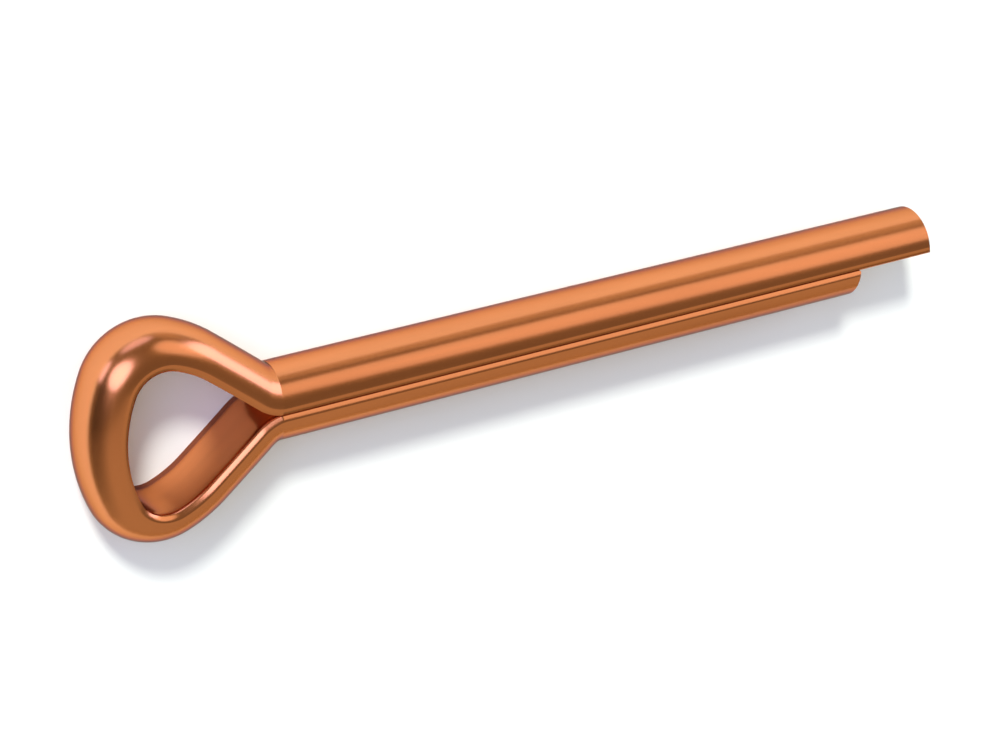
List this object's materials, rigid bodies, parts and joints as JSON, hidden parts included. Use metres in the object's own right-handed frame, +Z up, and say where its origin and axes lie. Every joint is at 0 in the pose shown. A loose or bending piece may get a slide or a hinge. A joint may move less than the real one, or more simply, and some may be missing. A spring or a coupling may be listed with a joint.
{
  "type": "cotter pin",
  "caption": "Split pin of folded half-round wire, with a teardrop eye and uneven legs that are spread to lock it in a cross hole.",
  "frame": {"origin": "on the shank's axis at the neck, where the flat faces of the legs part to go round the eye", "axes": "+X along the shank from the neck to the tips, +Y across the pair of legs towards the longer one, +Z up with the pin lying on its side"},
  "size_m": [0.0717, 0.0166, 0.0058],
  "materials": {
    "bronze_wire": "bright drawn copper-bronze, polished, with fine lines along the wire"
  },
  "bodies": {
    "root": {"cotter_pin": "bronze_wire"}
  },
  "joints": []
}
